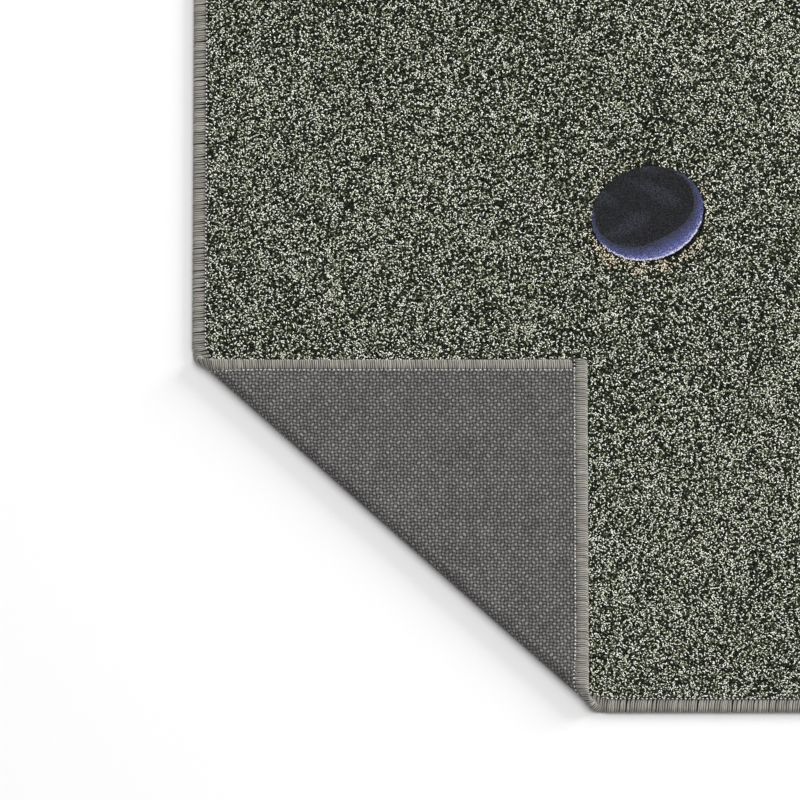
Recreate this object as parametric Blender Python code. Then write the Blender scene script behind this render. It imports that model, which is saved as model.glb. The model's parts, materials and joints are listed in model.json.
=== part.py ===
"""A practice putting mat with one corner folded over, built layer by layer.

The mat is a tufted carpet: pile, primary backing, latex coat and woven secondary
backing. Each side is overcast with a binding yarn, which two locking threads hold.
The front left corner is folded over the pile, so every piece that crosses the bend
is cut into rigid strips that turn about hinge lines on the backing's outer face.

Frame: metres, +Z up, origin on the floor under the middle of the mat. +X is to the
right and +Y goes from the front edge to the far edge.
"""

import math

import bmesh
import bpy
from mathutils import Matrix, Vector

# The whole mat, lying flat
MAT_WIDTH = 0.914
MAT_LENGTH = 1.524

# The layers, from the floor up, and the clearance between pieces that touch
SECONDARY_THICKNESS = 0.0010
LATEX_THICKNESS = 0.0007
PRIMARY_THICKNESS = 0.0006
PILE_HEIGHT = 0.0038
CLEARANCE = 0.0003

# The overcast binding, and the threads that lock it on the face and on the back
BINDING_WIDTH = 0.0125
BINDING_WALL = 0.0010
BINDING_ARC_STEPS = 8
THREAD_WIDTH = 0.0015
THREAD_SIDES = 8

# Where the layers leave the binding: they step down to the floor, the pile springs up
STEP_DOWN_RUN = 0.0024
PILE_SHOULDER_RUN = 0.0005

# The printed hole, an oval on the mat's centre line
HOLE_LONG_AXIS = 0.1168
HOLE_SHORT_AXIS = 0.1048
HOLE_TURN = math.radians(37)
HOLE_FROM_FRONT = 0.567
HOLE_SIDES = 64

# The folded corner
FOLD_DEPTH = 0.2935  # from the corner to the middle of the bend, square to the fold
FOLD_INNER_RADIUS = 0.0010  # left open between the two pile faces in the bend
FOLD_JOINTS = 4

# What follows from those sizes
TOTAL_THICKNESS = (
    SECONDARY_THICKNESS + LATEX_THICKNESS + PRIMARY_THICKNESS + PILE_HEIGHT + 3 * CLEARANCE
)
EDGE_RADIUS = TOTAL_THICKNESS / 2
THREAD_HEIGHT = BINDING_WALL
LAYER_LIFT = BINDING_WALL + CLEARANCE
SQUEEZED_PILE_TOP = TOTAL_THICKNESS - BINDING_WALL - CLEARANCE
THREAD_MIDDLE = BINDING_WIDTH + CLEARANCE + THREAD_WIDTH / 2
HEM_WIDTH = BINDING_WIDTH + CLEARANCE + THREAD_WIDTH + CLEARANCE
FOLD_RADIUS = TOTAL_THICKNESS + FOLD_INNER_RADIUS
FOLD_ANGLE = math.pi / FOLD_JOINTS
STRIP_WIDTH = 2 * FOLD_RADIUS * math.tan(FOLD_ANGLE / 2)

UP = Vector((0, 0, 1))
FOLDED_CORNER = Vector((-MAT_WIDTH / 2, -MAT_LENGTH / 2, 0))
TO_CORNER = Vector((-1, -1, 0)).normalized()
FOLD_AXIS = Vector((1, -1, 0)).normalized()
SNAP = 1e-7  # a cut passes through a vertex that is nearer than this
SMOOTH_BELOW = math.radians(35)

# Finishes: sRGB colour, roughness. None of them is metal.
FINISHES = {
    "pile": ((93, 97, 86), 0.95),
    "print": ((52, 52, 56), 0.95),
    "primary": ((150, 148, 140), 0.90),
    "latex": ((132, 130, 122), 0.70),
    "secondary": ((100, 99, 97), 0.92),
    "binding": ((125, 122, 114), 0.85),
    "thread": ((150, 147, 138), 0.80),
}


def linear(channel):
    """One sRGB channel, 0 to 255, as a linear value."""
    c = channel / 255
    return c / 12.92 if c <= 0.04045 else ((c + 0.055) / 1.055) ** 2.4


def make_finish(name, finish):
    """A Principled material of a node's own, in one of the named finishes."""
    colour, roughness = FINISHES[finish]
    material = bpy.data.materials.new(name)
    material.use_nodes = True
    shader = material.node_tree.nodes["Principled BSDF"]
    shader.inputs["Base Color"].default_value = (*map(linear, colour), 1)
    shader.inputs["Roughness"].default_value = roughness
    shader.inputs["Metallic"].default_value = 0
    return material


def clear_scene():
    for item in list(bpy.data.objects):
        bpy.data.objects.remove(item)


# ---- Solids in the flat mat -------------------------------------------------


def rectangle(bm, inset, height):
    """Four vertices of a rectangle, inset from the mat's outline, at one height."""
    x = MAT_WIDTH / 2 - inset
    y = MAT_LENGTH / 2 - inset
    return [bm.verts.new((i * x, j * y, height)) for i, j in ((-1, -1), (1, -1), (1, 1), (-1, 1))]


def band(bm, first, second):
    """Joins two loops of vertices with quads."""
    for i in range(len(first)):
        j = (i + 1) % len(first)
        bm.faces.new((first[i], first[j], second[j], second[i]))


def layer(under, over):
    """A sheet whose two faces follow (inset, height) pairs, from the edge inwards."""
    bm = bmesh.new()
    lower = [rectangle(bm, *pair) for pair in under]
    upper = [rectangle(bm, *pair) for pair in over]
    band(bm, lower[0], upper[0])
    for rings in (lower, upper):
        for outer, inner in zip(rings, rings[1:]):
            band(bm, outer, inner)
        bm.faces.new(rings[-1])
    bmesh.ops.recalc_face_normals(bm, faces=bm.faces)
    return bm


def backing_layer(bottom, thickness):
    """A backing sheet: lifted inside the binding, and on the floor side inside the hem."""
    inner_edge = HEM_WIDTH + STEP_DOWN_RUN

    def face(height):
        lifted = height + LAYER_LIFT
        return [(EDGE_RADIUS, lifted), (HEM_WIDTH, lifted), (inner_edge, height)]

    return layer(face(bottom), face(bottom + thickness))


def pile_layer(bottom):
    """The pile: squeezed flat inside the binding, and at its full height inside the hem."""
    lifted = bottom + LAYER_LIFT
    under = [(EDGE_RADIUS, lifted), (HEM_WIDTH, lifted), (HEM_WIDTH + STEP_DOWN_RUN, bottom)]
    over = [
        (EDGE_RADIUS, SQUEEZED_PILE_TOP),
        (HEM_WIDTH, SQUEEZED_PILE_TOP),
        (HEM_WIDTH + PILE_SHOULDER_RUN, TOTAL_THICKNESS),
    ]
    return layer(under, over)


class Side:
    """One side of the mat, with its place worked out along it, in from it and up."""

    def __init__(self, origin, along, inward, length, through):
        self.origin = Vector((*origin, 0))
        self.along = Vector((*along, 0))
        self.inward = Vector((*inward, 0))
        self.start = 0 if through else HEM_WIDTH
        self.end = length - self.start
        self.through = through

    def at(self, along, inward, up):
        return self.origin + self.along * along + self.inward * inward + UP * up


def mat_sides():
    """The front and far bindings run through to the corners; the others butt on them."""
    x, y = MAT_WIDTH / 2, MAT_LENGTH / 2
    return {
        "front": Side((-x, -y), (1, 0), (0, 1), MAT_WIDTH, True),
        "far": Side((x, y), (-1, 0), (0, -1), MAT_WIDTH, True),
        "left": Side((-x, y), (0, -1), (1, 0), MAT_LENGTH, False),
        "right": Side((x, -y), (0, 1), (-1, 0), MAT_LENGTH, False),
    }


def hooked_outline(radius):
    """A U lying on its side: in from the lip, round the edge and back to the lip."""
    points = [(BINDING_WIDTH, EDGE_RADIUS - radius)]
    for i in range(BINDING_ARC_STEPS + 1):
        turn = math.pi * i / BINDING_ARC_STEPS
        across = EDGE_RADIUS - radius * math.sin(turn)
        points.append((across, EDGE_RADIUS - radius * math.cos(turn)))
    points.append((BINDING_WIDTH, EDGE_RADIUS + radius))
    return points


def binding(side):
    """The yarn wrapped round one edge: a C in section, closed at a corner that it covers."""
    bm = bmesh.new()
    outer = hooked_outline(EDGE_RADIUS)
    inner = hooked_outline(EDGE_RADIUS - BINDING_WALL)
    wall = BINDING_WALL if side.through else 0
    ends = (side.start, side.end)
    slot_ends = (side.start + wall, side.end - wall)
    skins = [[bm.verts.new(side.at(v, *p)) for p in outer] for v in ends]
    slots = [[bm.verts.new(side.at(v, *p)) for p in inner] for v in slot_ends]
    for rows in (skins, slots):
        for i in range(len(outer) - 1):
            bm.faces.new((rows[0][i], rows[0][i + 1], rows[1][i + 1], rows[1][i]))
    for lip in (0, -1):
        bm.faces.new((skins[0][lip], skins[1][lip], slots[1][lip], slots[0][lip]))
    for skin, slot in zip(skins, slots):
        if side.through:
            bm.faces.new(skin)
            bm.faces.new(slot)
            bm.faces.new((skin[0], slot[0], slot[-1], skin[-1]))
        else:
            bm.faces.new(skin + slot[::-1])
    bmesh.ops.recalc_face_normals(bm, faces=bm.faces)
    return bm


def thread(side, middle_height):
    """A locking thread along the binding's inner lip, oval in section."""
    bm = bmesh.new()
    rings = []
    for v in (side.start, side.end):
        ring = []
        for i in range(THREAD_SIDES):
            turn = 2 * math.pi * i / THREAD_SIDES
            across = THREAD_MIDDLE + THREAD_WIDTH / 2 * math.cos(turn)
            up = middle_height + THREAD_HEIGHT / 2 * math.sin(turn)
            ring.append(bm.verts.new(side.at(v, across, up)))
        rings.append(ring)
        bm.faces.new(ring)
    band(bm, *rings)
    bmesh.ops.recalc_face_normals(bm, faces=bm.faces)
    return bm


def oval_plug(margin, bottom, top):
    """An upright oval prism at the printed hole, wider all round by a margin."""
    bm = bmesh.new()
    middle = Vector((0, HOLE_FROM_FRONT - MAT_LENGTH / 2, 0))
    turned = Matrix.Rotation(HOLE_TURN, 3, "Z")
    rings = []
    for height in (bottom, top):
        ring = []
        for i in range(HOLE_SIDES):
            t = 2 * math.pi * i / HOLE_SIDES
            across = (HOLE_LONG_AXIS / 2 + margin) * math.cos(t)
            along = (HOLE_SHORT_AXIS / 2 + margin) * math.sin(t)
            ring.append(bm.verts.new(middle + turned @ Vector((across, along, height))))
        rings.append(ring)
        bm.faces.new(ring)
    band(bm, *rings)
    bmesh.ops.recalc_face_normals(bm, faces=bm.faces)
    return bm


# ---- The fold ---------------------------------------------------------------


def hinge_point(number):
    """A point of hinge line 1, 2 ... on the underside of the flat mat."""
    from_corner = FOLD_DEPTH - STRIP_WIDTH / 2 - (number - 1) * STRIP_WIDTH
    return FOLDED_CORNER - TO_CORNER * from_corner


def cut(bm, point, outward):
    """Cuts away what lies beyond a plane, and closes the solid again."""
    everything = bm.verts[:] + bm.edges[:] + bm.faces[:]
    bmesh.ops.bisect_plane(
        bm, geom=everything, dist=SNAP, plane_co=point, plane_no=outward, clear_outer=True
    )
    open_edges = [edge for edge in bm.edges if edge.is_boundary]
    if open_edges:
        bmesh.ops.edgeloop_fill(bm, edges=open_edges)
        bmesh.ops.recalc_face_normals(bm, faces=bm.faces)


def section(flat, number):
    """The piece of a flat solid between two hinge lines.

    Section 0 is the mat, the last is the flap. The cut faces lean by half the fold
    angle, so that two neighbours come face to face when the hinge is fully folded.
    """
    lean = FOLD_ANGLE / 2
    back = CLEARANCE / 2 / math.cos(lean)
    bm = flat.copy()
    if number > 0:
        outward = UP * math.sin(lean) - TO_CORNER * math.cos(lean)
        cut(bm, hinge_point(number) + TO_CORNER * back, outward)
    if number < FOLD_JOINTS:
        outward = UP * math.sin(lean) + TO_CORNER * math.cos(lean)
        cut(bm, hinge_point(number + 1) - TO_CORNER * back, outward)
    return bm


def make_hinges():
    """Empties on the hinge lines, each turned by the fold angle from the one before."""
    hinges = []
    for number in range(1, FOLD_JOINTS + 1):
        hinge = bpy.data.objects.new(f"fold_hinge_{number}", None)
        bpy.context.collection.objects.link(hinge)
        hinge.rotation_mode = "AXIS_ANGLE"
        hinge.rotation_axis_angle = (-FOLD_ANGLE, *FOLD_AXIS)
        if hinges:
            hinge.parent = hinges[-1]
            hinge.location = hinge_point(number) - hinge_point(number - 1)
        else:
            hinge.location = hinge_point(number)
        hinges.append(hinge)
    return hinges


# ---- Objects ----------------------------------------------------------------


def make_object(name, bm, finish, hinge=None, origin=Vector((0, 0, 0))):
    """An object of its own from a solid, with its origin on its hinge line if it has one."""
    bmesh.ops.translate(bm, verts=bm.verts, vec=-origin)
    mesh = bpy.data.meshes.new(name)
    bm.to_mesh(mesh)
    bm.free()
    mesh.shade_smooth()
    mesh.set_sharp_from_angle(angle=SMOOTH_BELOW)
    mesh.materials.append(make_finish(name, finish))
    made = bpy.data.objects.new(name, mesh)
    bpy.context.collection.objects.link(made)
    made.parent = hinge
    return made


def make_folded(name, flat, finish, hinges):
    """The mat's, the strips' and the flap's own sections of one flat solid."""
    prefixes = ["mat"] + [f"strip{i}" for i in range(1, FOLD_JOINTS)] + ["flap"]
    made = [make_object(f"mat_{name}", section(flat, 0), finish)]
    for number, hinge in enumerate(hinges, 1):
        piece = section(flat, number)
        title = f"{prefixes[number]}_{name}"
        made.append(make_object(title, piece, finish, hinge, hinge_point(number)))
    flat.free()
    return made


def make_layers(hinges):
    """The four layers, each in its sections, and the height where the pile begins."""
    bottom = 0
    for name, thickness in (
        ("secondary", SECONDARY_THICKNESS),
        ("latex", LATEX_THICKNESS),
        ("primary", PRIMARY_THICKNESS),
    ):
        title = "latex_coat" if name == "latex" else f"{name}_backing"
        make_folded(title, backing_layer(bottom, thickness), name, hinges)
        bottom += thickness + CLEARANCE
    pile = make_folded("pile", pile_layer(bottom), "pile", hinges)[0]
    return pile, bottom


def make_printed_hole(pile, bottom):
    """The printed part of the pile, and the place that it takes in the plain pile."""
    through = PILE_HEIGHT
    cutter_solid = oval_plug(CLEARANCE, bottom - through, TOTAL_THICKNESS + through)
    cutter = make_object("printed_hole_cutter", cutter_solid, "print")
    cutter.hide_render = True
    cutter.display_type = "WIRE"
    place = pile.modifiers.new("printed_hole_place", "BOOLEAN")
    place.operation = "DIFFERENCE"
    place.object = cutter
    make_object("mat_printed_hole", oval_plug(0, bottom, TOTAL_THICKNESS), "print")


def make_edges(hinges):
    """Each side's binding, and its locking threads on the face and on the back."""
    for name, side in mat_sides().items():
        solids = {
            f"{name}_binding": (binding(side), "binding"),
            f"{name}_face_thread": (thread(side, TOTAL_THICKNESS - THREAD_HEIGHT / 2), "thread"),
            f"{name}_back_thread": (thread(side, THREAD_HEIGHT / 2), "thread"),
        }
        for title, (solid, finish) in solids.items():
            if name in ("front", "left"):
                make_folded(title, solid, finish, hinges)
            else:
                make_object(f"mat_{title}", solid, finish)


def main():
    clear_scene()
    hinges = make_hinges()
    pile, bottom = make_layers(hinges)
    make_printed_hole(pile, bottom)
    make_edges(hinges)


main()
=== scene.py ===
# %% [markdown]
# # A practice putting mat with one corner folded over
#
# The real mat is a strip of tufted floor cloth. Thick heather yarn stands on a woven cloth, a rubber
# coat locks it there, a second open weave is stuck underneath, and a machine wraps every edge in yarn.
# A round hole is printed on the pile. One corner is turned over, so both faces are seen at once.
#
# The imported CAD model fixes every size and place. This lesson puts the yarn, weave and stitches on it.

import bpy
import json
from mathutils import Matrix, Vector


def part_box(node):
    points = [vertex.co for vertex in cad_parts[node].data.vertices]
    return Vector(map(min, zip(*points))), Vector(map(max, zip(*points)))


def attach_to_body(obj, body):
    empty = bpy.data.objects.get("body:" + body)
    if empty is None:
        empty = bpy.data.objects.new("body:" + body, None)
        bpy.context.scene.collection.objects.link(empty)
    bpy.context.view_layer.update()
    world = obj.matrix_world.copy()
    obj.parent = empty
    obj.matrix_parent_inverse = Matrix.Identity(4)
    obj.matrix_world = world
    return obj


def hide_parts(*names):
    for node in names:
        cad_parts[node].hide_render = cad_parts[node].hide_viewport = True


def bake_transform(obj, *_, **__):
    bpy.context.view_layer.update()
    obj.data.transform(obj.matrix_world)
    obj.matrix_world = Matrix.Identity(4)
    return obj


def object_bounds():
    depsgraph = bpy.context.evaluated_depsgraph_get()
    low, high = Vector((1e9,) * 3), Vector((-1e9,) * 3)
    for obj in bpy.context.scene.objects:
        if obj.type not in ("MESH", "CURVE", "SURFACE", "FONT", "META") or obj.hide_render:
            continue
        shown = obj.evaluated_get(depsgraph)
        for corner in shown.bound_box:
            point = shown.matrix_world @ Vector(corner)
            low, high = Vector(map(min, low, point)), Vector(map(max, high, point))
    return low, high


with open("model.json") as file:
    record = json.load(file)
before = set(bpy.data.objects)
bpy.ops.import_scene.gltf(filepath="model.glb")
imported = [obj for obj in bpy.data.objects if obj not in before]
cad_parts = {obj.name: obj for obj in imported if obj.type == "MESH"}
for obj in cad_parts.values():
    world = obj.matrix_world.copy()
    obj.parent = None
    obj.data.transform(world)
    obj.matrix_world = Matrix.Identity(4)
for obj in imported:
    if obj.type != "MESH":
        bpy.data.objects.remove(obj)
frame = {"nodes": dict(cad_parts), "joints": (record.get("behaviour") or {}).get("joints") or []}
print(f"{len(frame['nodes'])} CAD nodes loaded")

# %% Note the CAD box
import json
import math

import bmesh
import bpy
import numpy as np
from mathutils import Vector

cad_box = [list(corner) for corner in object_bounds()]
low, high = (np.array(corner) for corner in cad_box)
mat_width, mat_length = high[:2] - low[:2]

# %% [markdown]
# ## The camera
#
# A long lens from well above the front edge keeps the edges of the mat parallel. The picture is a
# close look at the folded corner, so the camera aims there and the rest of the mat runs out of it.
# The lens length follows from how wide a piece of floor should fill the picture.

# %% Aim a long lens at the folded corner
view_width = 0.800
view_distance = 24.0
view_elevation = math.radians(61.0)
aim = np.array([low[0] + 0.2085, low[1] + 0.3565, 0.0])

camera_data = bpy.data.cameras.new("camera")
camera_data.sensor_width = 36.0
camera_data.lens = camera_data.sensor_width * view_distance / view_width
camera_data.clip_end = 200.0
camera = bpy.data.objects.new("camera", camera_data)
back = np.array([0.0, -math.cos(view_elevation), math.sin(view_elevation)])
camera.location = aim + view_distance * back
camera.rotation_euler = (math.radians(90.0) - view_elevation, 0.0, 0.0)
bpy.context.scene.collection.objects.link(camera)
bpy.context.scene.camera = camera
print(f"lens {camera_data.lens:.0f} mm, aimed at {aim.round(3)}")

# %% [markdown]
# ## Shader maths as Python expressions
#
# A material is a network of nodes. Adding each Math node by hand hides the formula, so a small class
# wraps one output and turns + - * / into nodes. Every other node comes from one method, which takes
# the node's type, its settings and the values of its sockets.

# %% One output of a node, with Python's operators


class Value:
    """A number that varies over a surface: an output of a node, in the finish that it belongs to."""

    def __init__(self, finish, socket):
        self.finish = finish
        self.socket = socket

    def maths(self, operation, first, second):
        """A Math node with that operation on two values or numbers."""
        return self.finish.node("ShaderNodeMath", {"operation": operation}, {0: first, 1: second})

    def __add__(self, other):
        return self.maths("ADD", self, other)

    def __radd__(self, other):
        return self.maths("ADD", other, self)

    def __sub__(self, other):
        return self.maths("SUBTRACT", self, other)

    def __rsub__(self, other):
        return self.maths("SUBTRACT", other, self)

    def __mul__(self, other):
        return self.maths("MULTIPLY", self, other)

    def __rmul__(self, other):
        return self.maths("MULTIPLY", other, self)

    def __pow__(self, other):
        return self.maths("POWER", self, other)

    def __abs__(self):
        return self.finish.node("ShaderNodeMath", {"operation": "ABSOLUTE"}, {0: self})

    def cosine(self):
        return self.finish.node("ShaderNodeMath", {"operation": "COSINE"}, {0: self})


# %% A finish: one material, and the one method that adds its nodes


def paint(red, green, blue):
    """A colour given as 0 to 255 screen values, turned into the linear light that shaders use."""
    screen = np.array([red, green, blue]) / 255.0
    linear = np.where(screen <= 0.04045, screen / 12.92, ((screen + 0.055) / 1.055) ** 2.4)
    return (*linear.tolist(), 1.0)


class Finish:
    """A material with a Principled shader, whose nodes are added by node()."""

    def __init__(self, name, roughness, sheen=0.0):
        self.material = bpy.data.materials.new(name)
        self.material.use_nodes = True
        self.tree = self.material.node_tree
        self.shader = self.tree.nodes["Principled BSDF"]
        self.shader.inputs["Roughness"].default_value = roughness
        self.shader.inputs["Specular IOR Level"].default_value = 0.06
        self.shader.inputs["Sheen Weight"].default_value = sheen
        self.shader.inputs["Sheen Roughness"].default_value = 0.6

    def node(self, kind, settings=None, sockets=None, output=0):
        """Adds a node of that kind; settings come first, then its sockets' numbers or links."""
        made = self.tree.nodes.new(kind)
        for name, setting in (settings or {}).items():
            if name == "stops":
                self.fill_ramp(made.color_ramp, setting)
            else:
                setattr(made, name, setting)
        for name, given in (sockets or {}).items():
            self.feed(made.inputs[name], given)
        return Value(self, made.outputs[output])

    def feed(self, socket, given):
        """Links a Value to a socket, or sets the socket to a plain number."""
        if isinstance(given, Value):
            self.tree.links.new(given.socket, socket)
        else:
            socket.default_value = given

    def fill_ramp(self, ramp, stops):
        """Gives a colour ramp its stops, as (place, colour) from 0 to 1."""
        while len(ramp.elements) < len(stops):
            ramp.elements.new(1.0)
        for element, (place, colour) in zip(ramp.elements, stops):
            element.position = place
            element.color = colour

    def attribute(self, name, output="Fac"):
        """Reads a number, or with output Vector a vector, that a piece carries at its points."""
        return self.node("ShaderNodeAttribute", {"attribute_name": name}, output=output)

    def noise(self, place, scale, detail, distortion=0.0):
        """A cloudy number about one half, at a place on the piece."""
        sockets = {"Vector": place, "Scale": scale, "Detail": detail, "Distortion": distortion}
        return self.node("ShaderNodeTexNoise", None, sockets)

    def toned(self, colour, tone):
        """A colour times a number, through a grey of that number."""
        grey = self.node("ShaderNodeCombineColor", None, {"Red": tone, "Green": tone, "Blue": tone})
        return self.mixed(1.0, colour, grey, blend="MULTIPLY")

    def colour(self, given):
        """Feeds a colour into the shader's Base Color."""
        self.feed(self.shader.inputs["Base Color"], given)

    def mixed(self, share, one, other, blend="MIX"):
        """A colour between one and other, by share, through a Mix node."""
        return self.node(
            "ShaderNodeMix",
            {"data_type": "RGBA", "blend_type": blend},
            {0: share, 6: one, 7: other},
            output=2,
        )

    def bump(self, height, strength, distance):
        """Feeds a height through a Bump node into the shader's Normal."""
        normal = self.node(
            "ShaderNodeBump", None, {"Height": height, "Strength": strength, "Distance": distance}
        )
        self.feed(self.shader.inputs["Normal"], normal)


print("shader helpers ready")

# %% [markdown]
# ## Floor and light
#
# The mat is only seven millimetres thick, so its shadow comes from light that slants over the floor.
# A tall lamp at the back right reaches almost down to the floor: each part of its height ends the
# shadow at another place, so the shadow fades smoothly beside the fold and along the near edge. A big
# lamp overhead and a bright sky do the rest. The floor is painted a very light grey, because all this
# light lifts it to white: a white floor would burn out, and the soft end of the shadow with it.

# %% Lay a pale floor, and mark it as no part of the object
floor_finish = Finish("pale_floor", roughness=0.9)
speckle = floor_finish.node("ShaderNodeTexNoise", None, {"Scale": 3.0, "Detail": 2.0})
floor_finish.colour(floor_finish.mixed(speckle, paint(230, 230, 230), paint(232, 232, 232)))
floor_reach = 80.0
floor_height = -0.0004
corners = np.array([[-1, -1], [1, -1], [1, 1], [-1, 1]]) * floor_reach
floor_mesh = bpy.data.meshes.new("floor")
floor_mesh.from_pydata([(x, y, floor_height) for x, y in corners.tolist()], [], [(0, 1, 2, 3)])
floor_mesh.materials.append(floor_finish.material)
floor = bpy.data.objects.new("floor", floor_mesh)
bpy.context.scene.collection.objects.link(floor)
print(f"floor {2 * floor_reach:.0f} m wide")

# %% Hang the lamps and light the sky
lit_place = Vector((-0.2, -0.4, 0.0))


def hang_lamp(name, place, size, power):
    """A lamp of that width and height in metres at a place, turned to face the fold."""
    lamp_data = bpy.data.lights.new(name, "AREA")
    lamp_data.shape = "RECTANGLE"
    lamp_data.size, lamp_data.size_y = size
    lamp_data.energy = power
    lamp = bpy.data.objects.new(name, lamp_data)
    lamp.location = place
    lamp.rotation_euler = (lit_place - Vector(place)).to_track_quat("-Z", "Y").to_euler()
    lamp.visible_camera = False
    bpy.context.scene.collection.objects.link(lamp)
    print(f"{name}: {power:.0f} W, {size[0]} x {size[1]} m")


hang_lamp("side_lamp", (4.2, 2.2, 1.5), (2.4, 2.7), 330.0)
hang_lamp("overhead_lamp", (0.2, 0.0, 4.2), (4.0, 4.0), 114.0)
sky = bpy.data.worlds.new("sky")
sky.use_nodes = True
backdrop = sky.node_tree.nodes["Background"]
backdrop.inputs["Color"].default_value = (1.0, 1.0, 1.0, 1.0)
backdrop.inputs["Strength"].default_value = 0.53
bpy.context.scene.world = sky
bpy.context.scene.view_settings.view_transform = "Standard"

# %% [markdown]
# ## The fold
#
# A folded cloth is the flat cloth rolled round a thin rod. So every piece is made flat first, where
# its pattern is simple, and one function then rolls it over. In the CAD the roll is four hinges with
# three narrow strips between them, and the two outer hinges say where the roll starts and how high it
# is. Points before the roll stay where they are, points in the roll go round a half circle, and
# points past it come back upside down over the mat.

# %% Read the roll from the joints
hinges = {joint["name"]: joint for joint in frame["joints"]}
first_hinge = np.array(hinges["fold_hinge_1"]["pos_m"])
last_hinge = np.array(hinges["fold_hinge_4"]["pos_m"])
hinge_axis = np.array(hinges["fold_hinge_1"]["axis"], float)
hinge_axis /= np.linalg.norm(hinge_axis)
to_corner = np.array([hinge_axis[1], hinge_axis[0] * -1.0])
turn_each = math.radians(hinges["fold_hinge_1"]["range_deg"][1])
roll_radius = last_hinge[2] / 2.0
strip = 2.0 * roll_radius * math.tan(turn_each / 2.0)
roll_start = -0.5 * strip
roll_end = 3.5 * strip
print(f"roll radius {roll_radius * 1000:.1f} mm, strips {strip * 1000:.2f} mm wide")

# %% The function that folds flat points
sag = 0.0012  # how far the flap sinks into the pile below it
sag_run = 0.050  # over how much cloth beyond the roll


def smooth(share):
    """Zero below 0, one above 1, and an S-shaped rise between them."""
    share = np.clip(share, 0.0, 1.0)
    return share * share * (3.0 - 2.0 * share)


def past_hinge(flat):
    """How far each flat point lies past the first hinge, towards the corner, square to the fold."""
    return (flat[..., :2] - first_hinge[:2]) @ to_corner


def fold(flat):
    """Rolls flat points (x, y, height above the back) round the fold.

    The turn grows from zero where the roll starts to half a turn where it ends. A point goes round
    at the roll's radius less its own height, since the pile face is on the inside."""
    across = past_hinge(flat)
    arc = roll_end - roll_start
    turn = np.clip((across - roll_start) / arc, 0.0, 1.0) * math.pi
    beyond = np.maximum(across - roll_end, 0.0)
    radius = roll_radius - flat[:, 2]
    rolled = roll_start + radius * np.sin(turn) - beyond
    height = roll_radius - radius * np.cos(turn) - sag * smooth(beyond / sag_run)
    flat_part = across < roll_start
    folded = flat.astype(float).copy()
    folded[:, :2] += np.where(flat_part, 0.0, rolled - across)[:, None] * to_corner
    folded[:, 2] = np.where(flat_part, flat[:, 2], height)
    return folded


corner = np.array([[low[0], low[1], 0.0]])
print(f"the corner of the mat lands at {fold(corner)[0].round(3)}")

# %% [markdown]
# The yarn round the edge is pinched where the edge goes into the fold. It bunches inwards on the pile
# face just before the roll, and a little on the back just after it, so the inner corner of the elbow is
# round. Both bunches are bell curves of the distance across the fold, read at the edge of the mat.

# %% How far the edge yarn bunches inwards
face_bunch = {"most": 0.0055, "middle": roll_start + 0.0110, "reach": 0.0065}
back_bunch = {"most": 0.0020, "middle": roll_end + 0.0040, "reach": 0.0200}


def from_edge(points):
    """How far each flat point lies inside the mat's nearest edge."""
    limit = np.array([mat_width / 2.0, mat_length / 2.0])
    return (limit - np.abs(points[..., :2])).min(-1)


def bell(distance, reach):
    """One at no distance, falling to about a third at the reach."""
    return np.exp(-((distance / reach) ** 2))


def bunched(flat, on_face):
    """How much further in the edge yarn ends, on the face or the back, beside each flat point."""
    at_edge = past_hinge(flat) + from_edge(flat) * abs(to_corner[0])
    bunch = face_bunch if on_face else back_bunch
    return bunch["most"] * bell(at_edge - bunch["middle"], bunch["reach"])


print(f"{1000 * (roll_end - roll_start):.0f} mm of cloth goes round the roll")


# %% [markdown]
# A piece that lies wholly on the mat or the flap rides on that body. A piece inside the roll is folded
# into place and rides on no body. The roll is shared out from the middle of one strip to the middle
# of the next, because there the cloth lies flat against the strip and two pieces meet cleanly.

# %% Share points out over the fold: 0 the mat, 1 to 4 the roll, 5 the flap
bodies = ["mat", "strip1", "strip2", "strip3", "flap"]
edge_share = 0.010  # how far the pieces of the roll reach out onto the mat and the flap
part_limits = [
    -9.0, roll_start - edge_share, 0.5 * strip, 1.5 * strip, 2.5 * strip, roll_end + edge_share, 9.0
]


def part_of_fold(flat):
    """The number of the part that each flat point belongs to."""
    return np.searchsorted(part_limits[1:-1], past_hinge(flat), side="right")


def attach(piece, part, height):
    """Makes a piece of the mat or the flap ride on its body; a piece of the roll stays where it lies.
    The height is not used.
    """
    if part == 0:
        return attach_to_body(piece, "mat")
    if part == 5:
        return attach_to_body(piece, "flap")
    ends = np.array([(part - 1.5) * strip, (part - 0.5) * strip])
    flat = np.column_stack([first_hinge[:2] + ends[:, None] * to_corner, [height, height]])
    start, end = fold(flat)
    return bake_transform(piece, bodies[part - 1], bodies[part], start=start, end=end)


print(f"the parts meet {np.round(np.array(part_limits[1:-1]) * 1000, 1)} mm past the first hinge")

# %% [markdown]
# ## Meshes from whole arrays
#
# A mesh is a list of points and a list of faces that name those points. Both come from numpy here, so
# a hundred thousand strands take no longer to write down than one. A point can carry numbers of its
# own, such as how dark its yarn was dyed, which the materials read back.

# %% Turn arrays into a piece of the object
triangles = {}


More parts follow.
